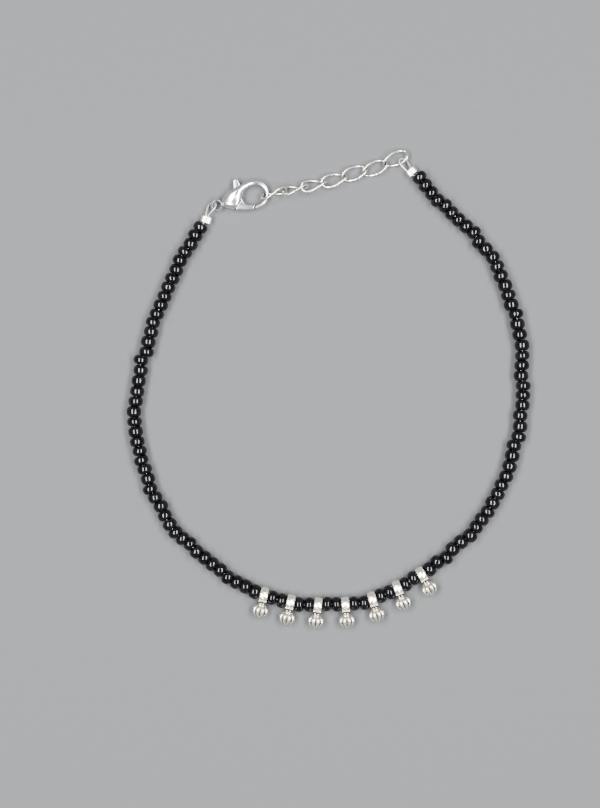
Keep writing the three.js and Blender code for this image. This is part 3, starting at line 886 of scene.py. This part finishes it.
HOOK_EDGES = [  # outer and inner edge of the hook, from its root to its tip
    ((7.95, 3.64), (7.92, 2.66)), ((8.62, 3.58), (8.45, 2.62)), ((9.28, 3.38), (8.88, 2.42)),
    ((9.84, 3.04), (9.25, 2.15)), ((10.28, 2.56), (9.55, 1.80)), ((10.58, 1.98), (9.80, 1.42)),
    ((10.74, 1.34), (9.98, 0.98)), ((10.76, 0.70), (10.05, 0.52)), ((10.64, 0.06), (9.96, 0.06)),
    ((10.42, -0.52), (9.76, -0.36)), ((10.08, -1.04), (9.45, -0.76)),
    ((9.62, -1.50), (9.02, -1.12)), ((9.02, -1.84), (8.55, -1.36)),
    ((8.36, -2.06), (8.10, -1.48)), ((7.80, -2.16), (7.86, -1.54)),
    ((7.44, -2.19), (7.76, -1.54)), ((7.32, -2.18), (7.70, -1.53)),
]
ACROSS_HOOK = [(0, 0.62), (0.3, 0.96), (0.55, 1.0), (0.8, 0.9), (1, 0.6)]  # share, height
HOOK_HALF = (0.66, 0.38)  # half its height, at its root and its tip


def clasp_rows():
    """Each row of five places, and the half heights at them."""
    rows = list(zip(BELLY_ROWS[::2], BELLY_ROWS[1::2]))
    for i, (outer, inner) in enumerate(HOOK_EDGES):
        along_hook = i / (len(HOOK_EDGES) - 1)
        half = HOOK_HALF[0] + (HOOK_HALF[1] - HOOK_HALF[0]) * along_hook
        places = [tuple(round(a + (b - a) * share, 2) for a, b in zip(outer, inner))
                  for share, _ in ACROSS_HOOK]
        rows.append((places, [half * height for _, height in ACROSS_HOOK]))
    return rows


def draw_sheet(name, rows):
    """A grid with five corners for each row, every corner dragged to its place."""
    across = len(rows[0][0])
    bpy.ops.object.select_all(action="DESELECT")
    bpy.ops.mesh.primitive_grid_add(x_subdivisions=len(rows) - 1, y_subdivisions=across - 1,
                                    size=1)
    sheet = added(name)
    begin(sheet)
    mesh = bmesh.from_edit_mesh(sheet.data)
    corners = sorted(mesh.verts, key=lambda v: (round(v.co.x, 5), -v.co.y))
    for k, corner in enumerate(corners):
        x, y = rows[k // across][0][k % across]
        corner.co = Vector((x, y, 0)) * MM
    bmesh.update_edit_mesh(sheet.data)
    end()
    return sheet


def in_plan(corner):
    """Where a corner is, seen from above, in hundredths of a millimetre."""
    return round(corner.co.x / MM * 100), round(corner.co.y / MM * 100)


def swell(sheet, rows):
    """Extrudes the sheet and gives every corner half its height, up and down."""
    half_height = {}
    for places, halves in rows:
        for (x, y), half in zip(places, halves):
            half_height[round(x * 100), round(y * 100)] = half * MM
    begin(sheet, "FACE")
    bpy.ops.mesh.select_all(action="SELECT")
    bpy.ops.mesh.extrude_region_move(TRANSFORM_OT_translate={"value": (0, 0, MM)})
    mesh = bmesh.from_edit_mesh(sheet.data)
    for corner in mesh.verts:
        half = half_height[in_plan(corner)]
        corner.co.z = half if corner.co.z > 0 else -half
    bmesh.update_edit_mesh(sheet.data)
    end()


# %% [markdown]
# The eye is a ring of its own, set over the narrow end of the casting and united with it.
# The lever swings in a slot through the middle of the body: a plate with the slot's outline
# is taken away, and so is the pin's bore. Both keep to the CAD outline, so that the lever
# swings as freely here as it does in the solids.

# %% Cast the body
EYE_D = 2.4
EYE_HOLE = 1.55
EYE_HALF = 0.52
LEVER_THICK = 0.85
FIT_GAP = 0.15
EYE_SWELL = 1.08  # so that the torus reaches past the eye's two edges
PIN_D = 0.5
BORE_IN_BODY = PIN_D + 0.02
BORE_IN_LEVER = PIN_D + 0.04
BORE_LENGTH = 6
RAY_FROM = Vector((0, 0, 9)) * MM  # well over the clasp
SLOT_OUTLINE = [
    (2.56, 3.72), (2.68, 2.38), (3.24, 1.03), (3.35, -2.33), (5.76, -2.73), (5.76, 1.61),
    (5.65, 3.72),
]
EYE_MIDDLE = Vector((-0.07, 0.08, 0)) * MM
CREASES = {1: 0.4, 2: 0.85, 3: 0.85}  # of the shoulder, the ridge and the foot
CREASED_ROWS = slice(1, 7)
RIVET_PROUD = 0.005  # how far the rivet's ends stand out of the cheeks


def plate(name, outline, thick):
    """A flat plate about the level z = 0, from an outline in millimetres."""
    bpy.ops.object.select_all(action="DESELECT")
    bpy.ops.mesh.primitive_circle_add(vertices=len(outline), radius=1, fill_type="NGON")
    made = added(name)
    begin(made)
    mesh = bmesh.from_edit_mesh(made.data)
    mesh.verts.ensure_lookup_table()
    for corner, (x, y) in zip(mesh.verts, outline):
        corner.co = Vector((x, y, -thick / 2)) * MM
    bmesh.update_edit_mesh(made.data)
    bpy.ops.mesh.select_all(action="SELECT")
    bpy.ops.mesh.extrude_region_move(TRANSFORM_OT_translate={"value": (0, 0, thick * MM)})
    end()
    close_up(made)
    return made


def model_eye():
    middle, half_wall = (EYE_D + EYE_HOLE) / 4 * MM, (EYE_D - EYE_HOLE) / 4 * MM
    bpy.ops.object.select_all(action="DESELECT")
    bpy.ops.mesh.primitive_torus_add(major_radius=middle, minor_radius=half_wall * EYE_SWELL,
                                     major_segments=48, minor_segments=16,
                                     location=EYE_MIDDLE)
    eye = added("eye")
    bpy.ops.object.transform_apply(location=True, rotation=False, scale=False)
    begin(eye)
    bpy.ops.mesh.select_all(action="SELECT")
    bpy.ops.transform.resize(value=(1, 1, EYE_HALF * MM / (half_wall * EYE_SWELL)))
    end()
    return eye


def cut_away(thing, cutter):
    apply_modifier(thing, "BOOLEAN", object=cutter, operation="DIFFERENCE", solver="EXACT")
    put_away(cutter)


def pin_shape(name, diameter, length, round_by=0.0):
    bpy.ops.object.select_all(action="DESELECT")
    bpy.ops.mesh.primitive_cylinder_add(vertices=32, radius=diameter / 2 * MM,
                                        depth=length * MM, location=PIVOT)
    pin = added(name)
    bpy.ops.object.transform_apply(location=True, rotation=False, scale=False)
    if round_by:
        apply_modifier(pin, "BEVEL", width=round_by * MM, segments=4, limit_method="ANGLE",
                       angle_limit=radians(60))
    return pin


def model_casting():
    rows = clasp_rows()
    casting = draw_sheet("casting", rows)
    swell(casting, rows)
    for column, crease in CREASES.items():
        line = [places[column] for places, _ in rows[CREASED_ROWS]]
        line = {(round(x * 100), round(y * 100)) for x, y in line}
        begin(casting, "EDGE")
        pick(casting, "EDGE", lambda e: all(in_plan(v) in line for v in e.verts))
        bpy.ops.transform.edge_crease(value=crease)
        end()
    close_up(casting)
    apply_modifier(casting, "SUBSURF", levels=3, render_levels=3)
    eye = model_eye()
    apply_modifier(casting, "BOOLEAN", object=eye, operation="UNION", solver="EXACT")
    put_away(eye)
    cheek = casting.ray_cast(PIVOT + RAY_FROM, Vector((0, 0, -1)))[1].z / MM
    cut_away(casting, plate("slot_cutter", SLOT_OUTLINE, LEVER_THICK + 2 * FIT_GAP))
    cut_away(casting, pin_shape("bore_cutter", BORE_IN_BODY, BORE_LENGTH))
    smooth(casting, 40)
    return casting, cheek


casting, cheek = model_casting()
low, high = (Vector(casting.bound_box[0]), Vector(casting.bound_box[6]))
print("casting:", triangles(casting), "triangles,", [round(v / MM, 2) for v in high - low])
print("cheek over the pin, in mm:", round(cheek, 3))

# %% [markdown]
# The lever is stamped from plate: a thumb tab that stands out of the clasp's back, and a
# gate that closes the hook. A sharp-edged plate would look cut from card, so its corners
# are rounded in plan and its rims are bevelled.

# %% Stamp the lever and rivet it
LEVER_OUTLINE = [
    (4.10, 4.12), (4.32, 4.42), (4.86, 4.44), (5.00, 4.10), (5.34, 3.05), (5.34, 2.30),
    (5.28, 1.22), (5.12, 0.10), (5.22, -0.30), (5.56, -0.80), (6.04, -1.12), (6.70, -1.32),
    (7.50, -1.40), (7.10, -2.12), (6.40, -2.10), (5.40, -1.96), (4.40, -1.76), (3.58, -1.56),
    (3.62, -1.01), (3.70, -0.10), (3.80, 0.83), (3.86, 2.40), (3.95, 3.10),
]
LEVER_ROUND = 0.2
RIVET_ROUND = 0.06


def model_lever():
    lever = plate("lever", LEVER_OUTLINE, LEVER_THICK)
    cut_away(lever, pin_shape("bore_cutter", BORE_IN_LEVER, BORE_LENGTH))
    apply_modifier(lever, "BEVEL", width=LEVER_ROUND * MM, segments=4, limit_method="ANGLE",
                   angle_limit=radians(50))
    smooth(lever, 45)
    return lever


lever = model_lever()
rivet = pin_shape("rivet", PIN_D, 2 * (cheek + RIVET_PROUD), RIVET_ROUND)
for thing, name, body in ((casting, "clasp_casting", "anklet"), (lever, "thumb_lever", "lever"),
                          (rivet, "clasp_rivet", "anklet")):
    made = dress(copy_to(thing, name, CLASP), CLASP_SILVER)
    put_away(thing)
    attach(made, body)
    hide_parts({"clasp_casting": "clasp_body", "thumb_lever": "clasp_lever",
                       "clasp_rivet": "clasp_pin"}[name])
    print(name, triangles(made), "triangles")

# %% [markdown]
# ## The crimps
# A crimp is a short soft tube squeezed flat over the two legs of the wire. It starts as an
# open tube with rings along it, is pressed flat, and the pliers' crease is pushed into both
# of its faces with proportional editing, which fades the dent out to the sides. The end that
# the loop comes out of is drawn in a little. The left crimp was squeezed out of line with
# the thread, the right one is straight.

# %% Squeeze the crimps
CRIMP_WIDTH = 2.15 * MM
CRIMP_LENGTH = 1.3 * MM
CRIMP_THICK = 0.95 * MM
CRIMP_WALL = 0.17 * MM
CREASE = 0.17 * MM
CRIMP_TAPER = 0.88  # of its width, at the end that the loop comes out of
CRIMP_GAP = 0.3 * MM
CRIMP_ROUND = 0.035 * MM
DENT_REACH = 0.42 * MM
STRING_HEIGHT = BEAD_D / 2


def model_crimp():
    bpy.ops.object.select_all(action="DESELECT")
    bpy.ops.mesh.primitive_cylinder_add(
        vertices=40, radius=CRIMP_WIDTH / 2, depth=CRIMP_LENGTH, end_fill_type="NOTHING",
        rotation=(0, math.pi / 2, 0))
    crimp = added("crimp_model")
    bpy.ops.object.transform_apply(location=False, rotation=True, scale=False)
    begin(crimp, "EDGE")
    pick(crimp, "EDGE", lambda e: abs(e.verts[0].co.x - e.verts[1].co.x) > CRIMP_LENGTH / 2)
    bpy.ops.mesh.subdivide(number_cuts=7)
    bpy.ops.mesh.select_all(action="SELECT")
    bpy.ops.transform.resize(value=(1, 1, CRIMP_THICK / CRIMP_WIDTH))
    for face in (1, -1):
        pick(crimp, "VERT", lambda v: abs(v.co.y) < 0.05 * MM and v.co.z * face > 0)
        bpy.ops.transform.translate(
            value=(0, 0, -face * CREASE), use_proportional_edit=True,
            proportional_edit_falloff="SHARP", proportional_size=DENT_REACH,
            use_proportional_connected=True)
    pick(crimp, "VERT", lambda v: v.co.x > CRIMP_LENGTH * 0.45)
    bpy.ops.transform.resize(value=(1, CRIMP_TAPER, 1))
    end()
    close_up(crimp)
    apply_modifier(crimp, "SOLIDIFY", thickness=CRIMP_WALL, offset=-1)
    apply_modifier(crimp, "BEVEL", width=CRIMP_ROUND, segments=2, limit_method="ANGLE",
                   angle_limit=radians(50))
    smooth(crimp, 40)
    return dress(crimp, CRIMP_SILVER)


crimp_model = model_crimp()
print("crimp:", triangles(crimp_model), "triangles")
for side, distance, outward, askew in (("left", 0, -1, 15), ("right", reached[-1], 1, 0)):
    point, ahead = along(distance)
    away = ahead * outward
    centre = point + away * (CRIMP_GAP + CRIMP_LENGTH / 2)
    centre.z = STRING_HEIGHT
    heading = math.atan2(away.y, away.x) + radians(askew)
    place = Matrix.Translation(centre) @ Matrix.Rotation(heading, 4, "Z")
    crimp = copy_to(crimp_model, f"crimp_tube_{side}", place)
    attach(crimp, "anklet")
    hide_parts(f"crimp_{side}")
    print("crimp", side, [round(v / MM, 2) for v in centre])
put_away(crimp_model)

# %% [markdown]
# ## The two wire loops
# Behind each crimp the wire makes one small loop round a ring and comes back. The left one
# goes under the wall of the clasp's eye, up through its hole and back over the wall; the
# right one goes over the near side of the last link, down through it and out under it.

# %% Bend the wire loops
LOOP_D = 0.33 * MM
LOOP_LEFT = [
    (-25.30, 33.30, 1.45), (-24.78, 34.60, 1.45), (-24.60, 35.50, 1.42), (-24.44, 36.50, 1.12),
    (-24.10, 37.42, 0.72), (-23.50, 37.95, 0.44), (-22.86, 37.86, 0.86), (-22.62, 37.50, 1.82),
    (-22.86, 36.74, 2.20), (-23.46, 36.08, 1.98), (-24.14, 35.24, 1.50), (-24.44, 34.50, 1.45),
]
LOOP_RIGHT = [
    (17.75, 43.20, 1.45), (16.55, 43.72, 1.45), (15.98, 44.15, 1.47), (15.21, 44.89, 1.60),
    (14.57, 45.62, 1.62), (14.32, 46.22, 1.42), (14.53, 46.70, 0.90), (15.17, 46.86, 0.48),
    (15.86, 46.40, 0.52), (16.32, 45.60, 0.98), (16.74, 44.80, 1.40), (17.02, 44.16, 1.45),
]
for side, points in (("left", LOOP_LEFT), ("right", LOOP_RIGHT)):
    loop = wire(f"wire_bend_{side}", [Vector(p) * MM for p in points], LOOP_D, 3, 8)
    dress(loop, COATED_WIRE)
    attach(loop, "anklet")
    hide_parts(f"wire_loop_{side}")
    print(loop.name, triangles(loop), "triangles")

# %% [markdown]
# ## Floor, light and camera
# The anklet lies on a plain pale sheet and is seen from straight above. Two long softboxes
# stand left and right of the camera: each black bead mirrors them as a pair of short bars
# with a dark gap between, which is how glossy black glass is made to read as round.

# %% Set the stage
FLOOR_SIZE = 3.0
SOFTBOX_TILT = 26.5
SOFTBOX_DISTANCE = 0.75
SOFTBOX_SIZE = (0.22, 0.8)
SOFTBOX_POWER = 11.0
ROOM_COLOUR = (0.9, 0.95, 1.0, 1)
ROOM_STRENGTH = 0.25
bpy.ops.object.select_all(action="DESELECT")
bpy.ops.mesh.primitive_plane_add(size=FLOOR_SIZE)
floor = dress(added("floor"), PALE_FLOOR)
floor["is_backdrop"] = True


def softbox(name, tilt):
    """A strip light that looks at the anklet from a tilt, in degrees from overhead."""
    where = Vector((math.sin(radians(tilt)), 0, math.cos(radians(tilt)))) * SOFTBOX_DISTANCE
    bpy.ops.object.select_all(action="DESELECT")
    bpy.ops.object.light_add(type="AREA", location=where, rotation=(0, radians(tilt), 0))
    light = added(name)
    light.data.shape = "RECTANGLE"
    light.data.size, light.data.size_y = SOFTBOX_SIZE
    light.data.energy = SOFTBOX_POWER


softbox("softbox_left", -SOFTBOX_TILT)
softbox("softbox_right", SOFTBOX_TILT)
world = bpy.data.worlds.new("soft_room")
bpy.context.scene.world = world
world.use_nodes = True
room = world.node_tree.nodes["Background"]
room.inputs["Color"].default_value = ROOM_COLOUR
room.inputs["Strength"].default_value = ROOM_STRENGTH
print("softboxes:", len(bpy.data.lights))

# %% Set the camera
PIXEL = 0.2013 * MM  # of the photograph, at the anklet
VIEW_CENTRE = Vector((-5.68, -2.61, 1.5)) * MM
PHOTO_ROWS = 808
FRAME_HEIGHT = PHOTO_ROWS * PIXEL
CAMERA_DISTANCE = 0.45
bpy.ops.object.select_all(action="DESELECT")
bpy.ops.object.camera_add(location=VIEW_CENTRE + Vector((0, 0, CAMERA_DISTANCE)))
camera = added("camera")
camera.data.lens = camera.data.sensor_width * CAMERA_DISTANCE / FRAME_HEIGHT
bpy.context.scene.camera = camera
bpy.context.scene.view_settings.look = "AgX - Medium High Contrast"
print("lens in mm:", round(camera.data.lens, 1))

# %% Measure the visual box
low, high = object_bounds()
print("visual box in mm:", [round(v / MM, 2) for v in high - low])
